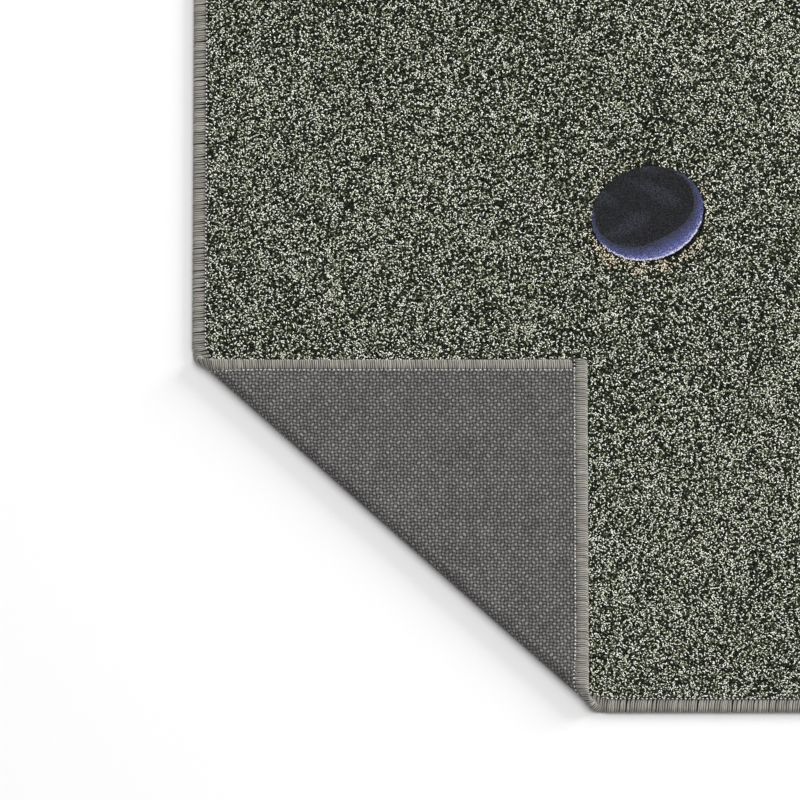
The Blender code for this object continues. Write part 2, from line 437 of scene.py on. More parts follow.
def make_piece(name, points, faces, finish, carried=None, chart=None):
    """Builds a smooth-shaded mesh object from points (n, 3) and faces (m, 3 or 4).

    carried maps a name to a number or a vector for each point. chart gives each point its place on
    the picture of a UV map named OFBake."""
    mesh = bpy.data.meshes.new(name)
    mesh.vertices.add(len(points))
    mesh.vertices.foreach_set("co", points.astype(np.float32).ravel())
    mesh.loops.add(faces.size)
    mesh.loops.foreach_set("vertex_index", faces.astype(np.int32).ravel())
    mesh.polygons.add(len(faces))
    starts = np.arange(0, faces.size, faces.shape[1], dtype=np.int32)
    mesh.polygons.foreach_set("loop_start", starts)
    mesh.polygons.foreach_set("use_smooth", np.ones(len(faces), bool))
    mesh.update(calc_edges=True)
    for title, numbers in (carried or {}).items():
        vector = numbers.ndim == 2
        layer = mesh.attributes.new(title, "FLOAT_VECTOR" if vector else "FLOAT", "POINT")
        layer.data.foreach_set("vector" if vector else "value", numbers.astype(np.float32).ravel())
    if chart is not None:
        layer = mesh.uv_layers.new(name="OFBake")
        layer.data.foreach_set("uv", chart[faces.ravel()].astype(np.float32).ravel())
    mesh.materials.append(finish.material)
    piece = bpy.data.objects.new(name, mesh)
    bpy.context.scene.collection.objects.link(piece)
    triangles[name] = len(faces) * (faces.shape[1] - 2)
    return piece


print("mesh maker ready")


# %% [markdown]
# ## The pile
#
# The pile is bulky heather yarn: pale, olive and almost black strands are spun together, so the mat
# looks speckled. Cut and steamed, the ends curl over and lie every way. Hair particles would make
# millions of hairs, and a picture of speckles would be flat from the side. Each strand is instead one
# narrow bowed slip of four triangles that starts low, rises to a crest and dips again, over the dark
# depths of the pile.

# %% Shape many strands at once


def strands(roots, heading, length, width, crest, depth, bow, roll):
    """Bowed slips of yarn, one for each root, as points (n, 6, 3) and how near each is to the crest.

    The middle line runs along the heading from -1 to 1 half lengths, and leaves it sideways by the
    bow times the square of that. It has an end, two pairs of left and right, and an end. The slip
    is highest at the pairs, and the roll lifts its left side and drops its right."""
    along = np.array([-1.0, -0.36, -0.36, 0.36, 0.36, 1.0])
    aside = np.array([0.0, 1.0, -1.0, 1.0, -1.0, 0.0])
    rise = np.array([0.0, 1.0, 1.0, 1.0, 1.0, 0.0])
    forward = np.column_stack([np.cos(heading), np.sin(heading)])
    left = np.column_stack([-forward[:, 1], forward[:, 0]])
    half = length[:, None] / 2.0
    lean = 2.0 * bow[:, None] * along
    stretch = np.sqrt(1.0 + lean**2)
    side = aside * width[:, None] / 2.0
    ahead = along * half - side * lean / stretch
    sideways = bow[:, None] * half * (along**2 - 0.13) + side / stretch
    place = (
        roots[:, None, :]
        + ahead[:, :, None] * forward[:, None, :]
        + sideways[:, :, None] * left[:, None, :]
    )
    height = crest[:, None] - depth[:, None] * (1.0 - rise) + side * roll[:, None]
    points = np.concatenate([place, height[:, :, None]], axis=2)
    return points, np.broadcast_to(rise, height.shape)


strand_points = 6
strand_faces = np.array([[0, 2, 1], [1, 2, 4], [1, 4, 3], [3, 4, 5]])


def strand_chart(dye, rise):
    """Places strands on a picture whose width is the dye and whose height is the crest."""
    nudge = np.array([0.0, -1.0, 1.0, -1.0, 1.0, 0.0]) * 0.004
    across = 0.01 + 0.98 * dye[:, None] + nudge
    up = 0.06 + 0.84 * rise + np.array([0.0, 0.0, 0.0, 0.04, 0.04, 0.0])
    return np.stack([across, up], axis=2)


print(f"{len(strand_faces)} triangles to a strand")

# %% [markdown]
# ### The pile's dyes
#
# One number says how each strand was dyed. Up to one half it runs through the heather from nearly
# black to cream. Above that come the inks of the printed hole. A colour ramp turns the number into a
# colour, and the strand darkens towards its low ends, where little light gets in.

# %% Mix the pile's finish
inks = {"black": 0.56, "navy": 0.63, "blue": 0.70, "violet": 0.77, "lilac": 0.83}
sands = {"sand": 0.89, "cream": 0.95, "russet": 1.0}

heather = [
    (0.00, paint(2, 3, 1)),
    (0.12, paint(13, 16, 10)),
    (0.24, paint(72, 78, 61)),
    (0.36, paint(156, 164, 134)),
    (0.43, paint(228, 231, 210)),
    (0.50, paint(254, 254, 250)),
]
printed = [
    (inks["black"], paint(24, 23, 20)),
    (inks["navy"], paint(60, 62, 70)),
    (inks["blue"], paint(86, 91, 140)),
    (inks["violet"], paint(142, 146, 206)),
    (inks["lilac"], paint(224, 222, 240)),
    (sands["sand"], paint(196, 184, 146)),
    (sands["cream"], paint(250, 242, 218)),
    (sands["russet"], paint(190, 124, 98)),
]


def pile_finish(name):
    """The finish of dyed yarn: the ramp's colour, with painted shade that darkens it towards the root.
    """
    finish = Finish(name, roughness=0.9, sheen=0.05)
    dye = finish.attribute("dye")
    crest = finish.attribute("crest")
    dyed = finish.node("ShaderNodeValToRGB", {"stops": heather + printed}, {"Fac": dye})
    # painted shade: the colour darkens towards each strand's low ends, deep in the pile
    finish.colour(finish.toned(dyed, 0.30 + 0.70 * crest))
    return finish


heather_yarn = pile_finish("heather_yarn")
printed_yarn = pile_finish("printed_yarn")
print(f"{len(heather)} tones of heather, {len(printed)} printed inks")

# %% [markdown]
# ### The printed hole
#
# The hole is only ink, but it is drawn to look deep: a black disc, a blue glow up its near wall, a
# pale lip, a thin dark gap and a sandy rim on the near side. Whatever is drawn depends on two
# things, how far out a point is on the slanted oval, and in which direction.

# %% Measure places on the slanted oval
hole_low, hole_high = (np.array(corner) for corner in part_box("mat_printed_hole"))
hole_centre = (hole_low[:2] + hole_high[:2]) / 2.0
hole_turn = math.radians(37.0)  # how far the oval's long way is turned from the mat's width
hole_half = np.array([0.1168, 0.1048]) / 2.0
print(f"hole centred at {hole_centre.round(4)}, {2000 * hole_half.round(4)} mm across")


def on_hole(flat):
    """Each point's distance out, 1 on the outline, and its direction in degrees from the right."""
    away = flat[:, :2] - hole_centre
    cosine, sine = math.cos(hole_turn), math.sin(hole_turn)
    long_way = away @ np.array([cosine, sine]) / hole_half[0]
    short_way = away @ np.array([-sine, cosine]) / hole_half[1]
    direction = np.degrees(np.arctan2(away[:, 1], away[:, 0]))
    return np.hypot(long_way, short_way), direction


def facing(direction, middle, spread):
    """One towards the middle direction, falling smoothly to zero at the spread either side."""
    off = np.abs((direction - middle + 180.0) % 360.0 - 180.0)
    return smooth(1.0 - off / spread)


# %% Choose an ink for each strand in and around the hole
# Directions are in degrees from the right, so -90 points at the near edge of the mat.
glow_side, lip_side, rim_side = -62.0, -75.0, -85.0
gap_side, gap_spread_side = -38.0, -60.0


def hole_dye(flat, dye, rng):
    """Replaces the heather dye by the printed one where the hole and its rim are printed."""
    out, direction = on_hole(flat)
    chance = rng.random(len(flat))
    tone = rng.random(len(flat))
    # The disc is black, with faint navy clouds.
    wave = np.sin(flat[:, 0] * 97.0 + 4.0 * np.sin(flat[:, 1] * 41.0)) * np.sin(flat[:, 1] * 83.0)
    inside = inks["black"] + 0.045 * chance + 0.035 * smooth((wave + 0.1) / 0.8) * (tone > 0.3)
    # The glow on the near right grows from navy to violet towards the outline.
    glow_width = 0.08 + 0.36 * facing(direction, glow_side, 120.0)
    glow = np.clip((out - (1.0 - glow_width)) / glow_width, 0.0, 1.0)
    glow = glow * facing(direction, glow_side, 135.0) ** 0.5
    glow = glow * (0.68 + 0.56 * chance)
    inside = np.where(glow > 0.08, inks["navy"] + 0.145 * glow**1.5, inside)
    # A pale lip ends the glow, and a thin dark gap lies outside it.
    lip = (out > 0.962) & (facing(direction, lip_side, 90.0) > 0.10 + 0.4 * chance)
    inside = np.where(lip, inks["lilac"] - 0.03 * chance, inside)
    dyed = np.where(out < 1.0, inside, dye)
    gap_reach = 0.012 + 0.080 * facing(direction, gap_side, 60.0)
    gap = (out >= 1.0) & (out < 1.0 + gap_reach) & (facing(direction, gap_spread_side, 120.0) > 0.05)
    dyed = np.where(gap, 0.03 * chance, dyed)
    # Sand lies round the near side, and a few blushes of it round the rest.
    rim = smooth(facing(direction, rim_side, 95.0) * 1.8)
    sandy = (out >= 1.0) & ~gap & (out < 1.06 + 0.22 * rim * (0.6 + 0.6 * chance)) & (rim > 0.03)
    sand = np.where(tone < 0.30, sands["sand"] + 0.02 * chance, sands["cream"] - 0.02 * chance)
    sand = np.where(tone > 0.96, sands["russet"] - 0.02 * chance, sand)
    dyed = np.where(sandy & (tone < 0.50 + 0.5 * rim) & (dye > 0.20), sand, dyed)
    blush = (out >= 1.0) & (out < 1.22) & (rim < 0.2) & (tone > 0.78) & (dye > 0.30)
    return np.where(blush, sands["sand"] + 0.03, dyed)


print(f"inks {sorted(inks)} and {sorted(sands)}")

# %% [markdown]
# ### Scatter the strands
#
# Roots on a plain grid would show rows, and wholly random roots clump, so each root is moved by up to
# half a step from a grid. The print is finer than the yarn, so shorter and thinner strands fill the
# hole. The strands on the mat are laid in tiles, so that no one piece grows too large. No part is so
# full that its piece passes the size that an exported mesh may have.

# %% Find where the pile stops, beside the chain stitch
thread_low, thread_high = (np.array(corner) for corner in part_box("mat_left_face_thread"))
pile_low, pile_high = (np.array(corner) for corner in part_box("mat_pile"))
pile_inset = thread_high[0] - low[0]
pile_top = pile_high[2]
pile_floor = pile_low[2]
print(f"pile starts {pile_inset * 1000:.1f} mm in and stands {pile_top * 1000:.1f} mm high")


def scatter(step, rng, inset):
    """Roots on a grid of that step over the mat, inside the inset, each moved by up to half a step."""
    reach_x, reach_y = mat_width / 2.0 - inset, mat_length / 2.0 - inset
    across = np.arange(-reach_x + step / 2.0, reach_x, step)
    down = np.arange(-reach_y + step / 2.0, reach_y, step)
    grid = np.stack(np.meshgrid(across, down), axis=2).reshape(-1, 2)
    return grid + rng.uniform(-0.5, 0.5, grid.shape) * step


def keep_in(points, inset):
    """Holds strands inside the pile's edge, so none lies across the stitches."""
    limit = np.array([mat_width / 2.0 - inset, mat_length / 2.0 - inset])
    points[:, :, :2] = np.clip(points[:, :, :2], -limit, limit)
    return points


# %% Grow the heather pile
strand_step = 0.00190
pale_share, middling_share = 0.39, 0.18

rng = np.random.default_rng(11)
roots = scatter(strand_step, rng, pile_inset + 0.0006)
outside_hole = on_hole(roots)[0] > 1.0
roots = roots[outside_hole & (from_edge(roots) > pile_inset + bunched(roots, on_face=True))]
count = len(roots)
# More pale strands towards the right of the mat, and in slow waves across it.
drift = np.sin(roots[:, 0] * 9.0 + 2.0 * np.sin(roots[:, 1] * 7.0)) + 1.5 * roots[:, 0]
drift = drift + 0.5 * np.sin(roots[:, 0] * 71.0 + 3.0 * np.sin(roots[:, 1] * 23.0))
kind = rng.random(count) - 0.04 * drift
spread = rng.random(count)
pale = kind < pale_share
middling = ~pale & (kind < pale_share + middling_share)
dye = np.where(pale, 0.36 + 0.14 * spread, np.where(middling, 0.20 + 0.16 * spread, 0.16 * spread))
sunk = np.where(pale, 0.0, np.where(middling, 0.0003, 0.0001)) + 0.0006 * rng.random(count)
points, rise = strands(
    roots,
    heading=rng.uniform(0.0, math.tau, count),
    length=rng.uniform(0.0020, 0.0040, count),
    width=np.where(pale, 0.00070, 0.00080) + rng.uniform(0.0, 0.00030, count),
    crest=pile_top + 0.0002 - sunk,
    depth=rng.uniform(0.0008, 0.0014, count),
    bow=rng.uniform(-0.80, 0.80, count),
    roll=rng.uniform(-0.30, 0.30, count),
)
points = keep_in(points, pile_inset - 0.0006)
dye = hole_dye(roots, dye, rng)
print(f"{count} strands of heather yarn")

# %% Put the strands into pieces, the mat's in tiles


def lay_strands(name, chosen, points, dye, rise, finish):
    """Makes one folded piece of the chosen strands."""
    picked = points[chosen].reshape(-1, 3)
    number = len(chosen)
    faces = (np.arange(number)[:, None, None] * strand_points + strand_faces).reshape(-1, 3)
    carried = {"dye": np.repeat(dye[chosen], strand_points), "crest": rise[chosen].ravel()}
    chart = strand_chart(dye[chosen], rise[chosen]).reshape(-1, 2)
    return make_piece(name, fold(picked), faces, finish, carried, chart)


strands_in_tile = 48000
pile_blend_height = 0.0045
part = part_of_fold(roots)
on_mat = np.flatnonzero(part == 0)
on_mat = on_mat[np.argsort(roots[on_mat, 1], kind="stable")]
tiles = np.array_split(on_mat, math.ceil(len(on_mat) / strands_in_tile))
for number, chosen in enumerate(tiles):
    tile = lay_strands(f"pile_tile_{number + 1}", chosen, points, dye, rise, heather_yarn)
    attach(tile, 0, 0.0)
    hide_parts("mat_pile")
for number in range(1, 6):
    name = f"pile_roll_{number}" if number < 5 else "pile_flap"
    chosen = np.flatnonzero(part == number)
    piece = lay_strands(name, chosen, points, dye, rise, heather_yarn)
    attach(piece, number, pile_blend_height)
    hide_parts(f"{bodies[min(number, 4)]}_pile")
print(f"{len(tiles)} tiles on the mat, {len(tiles[0])} strands in the first")

# %% Fill the hole with fine printed strands
fine_step = 0.00105
roots = scatter(fine_step, rng, pile_inset)
roots = roots[on_hole(roots)[0] < 1.02]
count = len(roots)
points, rise = strands(
    roots,
    heading=rng.uniform(0.0, math.tau, count),
    length=rng.uniform(0.0016, 0.0028, count),
    width=rng.uniform(0.0008, 0.0011, count),
    crest=pile_top - rng.uniform(0.0, 0.0005, count),
    depth=rng.uniform(0.0006, 0.0010, count),
    bow=rng.uniform(-0.6, 0.6, count),
    roll=rng.uniform(-0.5, 0.5, count),
)
dye = hole_dye(roots, np.full(count, 0.05), rng)
hole = lay_strands("printed_hole", np.arange(count), points, dye, rise, printed_yarn)
attach(hole, 0, 0.0)
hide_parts("mat_printed_hole")
print(f"{count} printed strands")

# %% [markdown]
# ## The cloths under the yarn
#
# Three layers lie below the pile: the cloth that the yarn is tufted through, the rubber coat, and the
# second backing. Each is one sheet cut to the mat's size, so one function cuts all of them. It lays a
# grid of squares, slices it straight along the fold so that each part has its own piece, and folds it.

# %% Rule a sheet of cloth
rim_lines = np.array([0.0, 0.004, 0.007, 0.0095, 0.012, 0.015])


def ruled(half, step):
    """Places of the grid's lines from -half to half: even steps, with closer lines at both ends."""
    inner = np.arange(-half + rim_lines[-1] + step, half - rim_lines[-1] - step * 0.3, step)
    return np.concatenate([-half + rim_lines, inner, half - rim_lines[::-1]])


print(f"{len(rim_lines)} close lines along each rim")

# %% Cut a sheet of cloth, part by part


def cut_sheet(part, across, down):
    """The squares between the grid lines that lie in one part of the fold, sliced off straight
    along the fold at both of the part's limits. Returns flat points and triangles facing down."""
    plane = np.stack(np.meshgrid(across, down), axis=2).reshape(-1, 2)
    points = np.column_stack([plane, np.zeros(len(plane))])
    columns = len(across)
    corner = np.arange(len(points)).reshape(len(down), columns)[:-1, :-1].ravel()
    faces = np.column_stack([corner, corner + columns, corner + columns + 1, corner + 1])
    distance = past_hinge(points)[faces]
    lowest, highest = part_limits[part], part_limits[part + 1]
    faces = faces[(distance.max(1) > lowest) & (distance.min(1) < highest)]
    used, faces = np.unique(faces, return_inverse=True)
    faces = faces.reshape(-1, 4)
    flat_mesh = bpy.data.meshes.new("cutting")
    flat_mesh.from_pydata(points[used].tolist(), [], faces.tolist())
    work = bmesh.new()
    work.from_mesh(flat_mesh)
    bpy.data.meshes.remove(flat_mesh)
    for limit, outwards in ((lowest, -1.0), (highest, 1.0)):
        line = first_hinge[:2] + limit * to_corner
        bmesh.ops.bisect_plane(
            work,
            geom=work.verts[:] + work.edges[:] + work.faces[:],
            plane_co=(line[0], line[1], 0.0),
            plane_no=(outwards * to_corner[0], outwards * to_corner[1], 0.0),
            clear_outer=True,
        )
    bmesh.ops.triangulate(work, faces=work.faces[:])
    work.verts.index_update()
    points = np.array([vertex.co[:] for vertex in work.verts])
    faces = np.array([[vertex.index for vertex in face.verts] for face in work.faces])
    work.free()
    return points, faces


# %% Measure a cut sheet, and place it on its picture


def flat_area(points, faces):
    """The area of a flat mesh: half the cross product of two sides, added up."""
    one = points[faces[:, 1]] - points[faces[:, 0]]
    two = points[faces[:, 2]] - points[faces[:, 0]]
    return float(np.abs(one[:, 0] * two[:, 1] - one[:, 1] * two[:, 0]).sum() / 2.0)


def sheet_chart(part, points):
    """The place of each flat point on its picture: along and across the fold in the roll."""
    if part in (0, 5):
        seen = points[:, :2]
    else:
        seen = np.column_stack([points[:, :2] @ hinge_axis[:2], past_hinge(points)])
    least, most = seen.min(0), seen.max(0)
    return 0.01 + 0.98 * (seen - least) / (most - least)


# %% How deep each layer lies
binding_low, binding_high = (np.array(corner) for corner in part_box("mat_left_binding"))
binding_width = binding_high[0] - binding_low[0]
cloth_low, cloth_high = (np.array(corner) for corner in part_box("mat_primary_backing"))
rubber_low = np.array(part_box("mat_latex_coat")[0])
rim_lift = cloth_high[2] - cloth_low[2] - 0.0006
hem_width = thread_high[0] - low[0] + 0.0003
climb_width = 0.0024
layer_inset = 0.0035  # how far the inner layers stop short of the mat's edge


def lifted(points, height):
    """The height of an inner layer, which climbs onto the edge binding beside the pile."""
    climb = smooth((hem_width + climb_width - from_edge(points)) / climb_width)
    return height + rim_lift * climb


print(f"inner layers climb {rim_lift * 1000:.1f} mm at the binding")

# %% [markdown]
# ### The tufted cloth and the rubber
#
# Between the strands the eye meets the depths of the pile: the lower yarn in shade, painted as one dark
# mottled surface. Under it lie the cloth that the yarn is tufted through and the rubber. Neither of
# those shows, but a sheet of each keeps the layers right.

# %% Mix the pile's depths in painted shade, the dark cloth and the rubber
shaded_pile_depths = Finish("shaded_pile_depths", roughness=0.95)
tangle = shaded_pile_depths.noise(shaded_pile_depths.attribute("flat", output="Vector"), 950.0, 2.0, 1.0)
# painted shade: the depths are near black, where little light reaches between the strands, with lighter
# mottling
depth_shade_stops = [(0.42, paint(3, 4, 2)), (0.54, paint(30, 35, 24)), (0.66, paint(104, 112, 90))]
shaded_pile_depths.colour(
    shaded_pile_depths.node("ShaderNodeValToRGB", {"stops": depth_shade_stops}, {"Fac": tangle})
)
tufted_cloth = Finish("tufted_cloth", roughness=0.95)
stain = tufted_cloth.noise(tufted_cloth.attribute("flat", output="Vector"), 260.0, 3.0)
stain_stops = [(0.3, paint(14, 16, 12)), (0.7, paint(34, 38, 30))]
tufted_cloth.colour(
    tufted_cloth.node("ShaderNodeValToRGB", {"stops": stain_stops}, {"Fac": stain})
)
rubber_coat = Finish("rubber_coat", roughness=0.7)
ripple = rubber_coat.noise(rubber_coat.attribute("flat", output="Vector"), 400.0, 2.0)
rubber_coat.colour(rubber_coat.mixed(ripple, paint(52, 50, 48), paint(66, 64, 61)))
rubber_coat.bump(ripple, 0.4, 0.0003)
print("three finishes mixed: pile depths, tufted cloth, rubber coat")

part_names = ["mat", "roll_1", "roll_2", "roll_3", "roll_4", "flap"]
replaced_body = ["mat", "strip1", "strip2", "strip3", "flap", "flap"]


def declare(layers):
    for part, held in ((0, "laid"), (5, "folded")):
        piece, points, faces = layers[part]
        size = points[:, :2].max(0) - points[:, :2].min(0)
        area = flat_area(points, faces)
        print(f"{piece.name}: cut {size[0]:.3f} x {size[1]:.3f} m, area {area:.3f} m2")


# %% Lay the depths of the pile and both inner sheets
depths_below_top = 0.0023
rubber_above_low = 0.00035
for title, height, finish, slot_name, facing_up in (
    ("shaded_pile_depths", pile_top - depths_below_top, shaded_pile_depths, "pile", True),
    ("tufted_cloth", pile_floor, tufted_cloth, "primary_backing", True),
    ("rubber_coat", rubber_low[2] + rubber_above_low, rubber_coat, "latex_coat", False),
):
    layers = {}
    for part in range(6):
        step = 0.040 if part in (0, 5) else 0.0022
        inset = binding_width if slot_name == "pile" else layer_inset
        points, faces = cut_sheet(
            part,
            ruled(mat_width / 2.0 - inset, step),
            ruled(mat_length / 2.0 - inset, step),
        )
        if facing_up:
            faces = faces[:, ::-1]
        shaped = points.copy()
        shaped[:, 2] = height if slot_name == "pile" else lifted(points, height)
        piece = make_piece(
            f"{title}_{part_names[part]}", fold(shaped), faces, finish, {"flat": points},
            sheet_chart(part, points),
        )
        layers[part] = (piece, points, faces)
        attach(piece, part, height)
        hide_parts(f"{replaced_body[part]}_{slot_name}")
    if slot_name != "pile":
        declare(layers)

# %% [markdown]
# ## The woven backing
#
# The back of the mat is a coarse plain weave: thick pale tape yarns one way, thinner dark ones the
# other, over and under by turns. Modelling each yarn would need millions of faces. A sheet whose
# height follows the weave shows the same face: at each place the upper of two bowed yarns is seen.
# Each yarn rises at one crossing and dips at the next, so the pale ones show as a chequer of dots.

# %% The height of a plain weave
pale_pitch = 0.00390
dark_pitch = 0.00345
weave_wave = 0.00028  # how far a yarn's middle line swings up and down
weave_bow = 0.0016  # how fast a yarn falls away to its sides
dark_drop = 0.00008  # how much lower the thin dark yarns lie
slack_drop = 0.00022


def weave_depth(woven, slack):
    """How deep the woven face lies at each place (u, v) counted in yarns, zero at the crests.

    Pale yarns run along v, dark ones along u. A yarn's middle line is a cosine that swaps sign from
    one crossing to the next, and falls away with the square of the distance to its side. The slack
    of each crossing lowers it at random."""
    pale, dark = woven[:, 0], woven[:, 1]
    aside_pale = pale - np.round(pale)
    aside_dark = dark - np.round(dark)
    swap_pale = np.where(np.round(pale) % 2 == 0, 1.0, -1.0)
    swap_dark = np.where(np.round(dark) % 2 == 0, 1.0, -1.0)
    pale_height = weave_wave * swap_pale * np.cos(np.pi * dark) - weave_bow * aside_pale**2
    dark_height = -weave_wave * swap_dark * np.cos(np.pi * pale) - weave_bow * aside_dark**2
    return weave_wave - np.maximum(pale_height, dark_height - dark_drop) + slack_drop * slack


print(f"the weave is {1000 * (2 * weave_wave + slack_drop):.2f} mm deep where it is slack")

# %% Mix the weave's finish, from the same waves, with painted shade between the crossings
woven_backing = Finish("woven_backing", roughness=0.9, sheen=0.05)
place = woven_backing.attribute("weave", output="Vector")
slack = woven_backing.attribute("slack")
frayed = woven_backing.noise(place, 1.1, 3.0)
fibres = woven_backing.noise(place, 5.0, 3.0)
slow = woven_backing.noise(place, 0.10, 2.0)
pale_step, dark_step = (
    woven_backing.node("ShaderNodeSeparateXYZ", None, {"Vector": place}, output=axis)
    for axis in (0, 1)
)
chequer = (pale_step * math.pi).cosine() * (dark_step * math.pi).cosine()
pale_share = woven_backing.node(
    "ShaderNodeMapRange",
    {"interpolation_type": "SMOOTHSTEP"},
    {"Value": chequer + 0.8 * (frayed - 0.5) - 0.5 * slack, "From Min": -0.15, "From Max": 0.50},
)
yarns = woven_backing.mixed(pale_share, paint(99, 96, 97), paint(127, 125, 119))
# painted shade: the colour darkens from the crown of each crossing into the valleys between them; it is
# also darker where a crossing is slack
crown_height_and_shade = abs(chequer) ** 0.55
tone = (0.06 + crown_height_and_shade) * (0.10 + 1.50 * fibres + 0.50 * slow - 0.30 * slack)
woven_backing.colour(woven_backing.toned(yarns, tone))
woven_backing.bump(fibres + 0.6 * crown_height_and_shade, 0.5, 0.0004)
print(f"weave of {pale_pitch * 1000:.2f} by {dark_pitch * 1000:.2f} mm")

# %% Lay the woven backing, with the weave in relief where it shows
weave_inset = binding_width - 0.0025
weave_reach = np.array([mat_width / 2.0 - weave_inset, mat_length / 2.0 - weave_inset])
weave_height = 0.0003
slack_table = rng.random((509, 509)) ** 1.5
layers = {}
for part in range(6):
    if part == 0:
        across = ruled(mat_width / 2.0 - layer_inset, 0.040)
        down = ruled(mat_length / 2.0 - layer_inset, 0.040)
    else:
        across = np.append(np.arange(-weave_reach[0], weave_reach[0], pale_pitch / 4.0), weave_reach[0])
        down = np.append(np.arange(-weave_reach[1], weave_reach[1], dark_pitch / 4.0), weave_reach[1])
    points, faces = cut_sheet(part, across, down)
    woven = (points[:, :2] + weave_reach) / np.array([pale_pitch, dark_pitch])
    woven += 0.16 * np.sin(woven[:, ::-1] * 1.9 + 1.7 * np.sin(woven * 0.83))
    crossing = np.abs(np.round(woven).astype(int)) % len(slack_table)
    slackness = slack_table[crossing[:, 0], crossing[:, 1]]
    shaped = points.copy()
    if part == 0:
        shaped[:, 2] = lifted(points, weave_height)
    else:
        tucked = smooth((binding_width + 0.0006 - from_edge(points)) / 0.0012)
        shaped[:, 2] = weave_depth(woven, slackness) + 0.0001 + 0.0007 * tucked
    piece = make_piece(
        f"woven_backing_{part_names[part]}", fold(shaped), faces, woven_backing,
        {"weave": np.column_stack([woven, np.zeros(len(woven))]), "slack": slackness},
        sheet_chart(part, points),
    )
    layers[part] = (piece, points, faces)
    attach(piece, part, weave_height)
    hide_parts(f"{replaced_body[part]}_secondary_backing")
    print(f"{piece.name}: {len(faces)} triangles")
declare(layers)

# %% [markdown]
# ## The wrapped edge
#
# A serging machine throws yarn round the edge of the mat, two plies to a stitch, and locks each stitch
# with a chain of thread on both faces. On the back the plies run straight across; on the pile face
# they lean as they reach the chain. Each ply here is one narrow ridge carried round the edge's own
# outline: flat on the back, round the outside, and flat on the face. The two plies of a stitch draw
# together at the chain, which leaves small dark notches between stitches. At a corner two more ridges,
# one inside the other, close the end of the edge, as the last wraps of yarn do.

# %% The four runs of the edge
edge_run = {
    "front": {"corner": (low[0], low[1]), "along": (1, 0), "inward": (0, 1), "length": mat_width},
    "far": {"corner": (low[0], high[1]), "along": (1, 0), "inward": (0, -1), "length": mat_width},
    "left": {"corner": (low[0], low[1]), "along": (0, 1), "inward": (1, 0), "length": mat_length},
    "right": {"corner": (high[0], low[1]), "along": (0, 1), "inward": (-1, 0), "length": mat_length},
}
stitch = 0.0043
corner_radius = 0.0050
fold_bulge = 0.0030  # how far the edge swells outwards where it goes round the fold
edge_radius = (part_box("mat_front_binding")[1][2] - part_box("mat_front_binding")[0][2]) / 2.0
print(f"four edges, {edge_radius * 2000:.1f} mm thick")


def place_on_run(run, along, inset, height):
    """Flat points at distances along a run, in from the edge, and above the back."""
    facts = edge_run[run]
    corner, forward, inward = (np.array(facts[word], float) for word in ("corner", "along", "inward"))
    plane = corner + along[..., None] * forward + inset[..., None] * inward
    return np.concatenate([plane, height[..., None]], axis=-1)


def inside_on_left(run):
    """Whether the mat lies on the left of someone who walks along the run."""
    (along_x, along_y), (inward_x, inward_y) = edge_run[run]["along"], edge_run[run]["inward"]
    return along_x * inward_y > along_y * inward_x


def corner_pull(run, along):
    """How far the edge is drawn in near the ends of a run that goes right to the corners."""
    if run in ("left", "right"):
        return np.zeros_like(along)
    to_end = np.minimum(along, edge_run[run]["length"] - along)
    short = np.clip(corner_radius - to_end, 0.0, corner_radius)
    return corner_radius - np.sqrt(corner_radius**2 - short**2)


# %% [markdown]
# Twelve steps take a ply from the chain on the back to the chain on the face. Each list below has one
# number for each step: how far in and how high the outline runs, which way it faces, how close the two
# plies of a stitch are, how deep their ends are tucked in, how much light reaches them, and how far
# they lean along the edge.

# %% The outline that a ply follows, from the back chain round to the face chain
turns = np.radians([-90.0, -54.0, -18.0, 18.0, 54.0, 90.0])
chain_end = binding_width + 0.0004
flat_stretch = np.array([chain_end, binding_width - 0.0016, 0.0075])
outline_inset = np.concatenate(
    [flat_stretch, edge_radius - edge_radius * np.cos(turns), flat_stretch[::-1]]
)
outline_height = np.concatenate(
    [[0.0, 0.0, 0.0], edge_radius + edge_radius * np.sin(turns), [0.0070, 0.0069, 0.0067]]
)
outline_normal = np.column_stack([
    np.concatenate([[0.0] * 3, -np.cos(turns), [0.0] * 3]),
    np.concatenate([[-1.0] * 3, np.sin(turns), [1.0] * 3]),
])
drawn_in = np.array([0.60, 0.88] + [1.0] * 8 + [0.95, 0.85])
tucked_in = np.array([0.00045] + [0.0] * 10 + [0.00045])
ply_light = np.array([0.25, 0.85] + [1.0] * 8 + [0.92, 0.80])
leaning = np.array([0.0, 0.0, 0.1, 0.4, 0.7, 0.9, 1.1, 1.3, 1.5, 1.7, 2.3, 2.8]) / 1000.0
print(f"{len(outline_inset)} steps round the edge")

# %% Carry the plies round the outline
ply_spacing = stitch / 4.0  # from the middle of a stitch to the middle of each of its two plies
ply_depth = 0.00075  # how far a ply's low sides lie below its crest


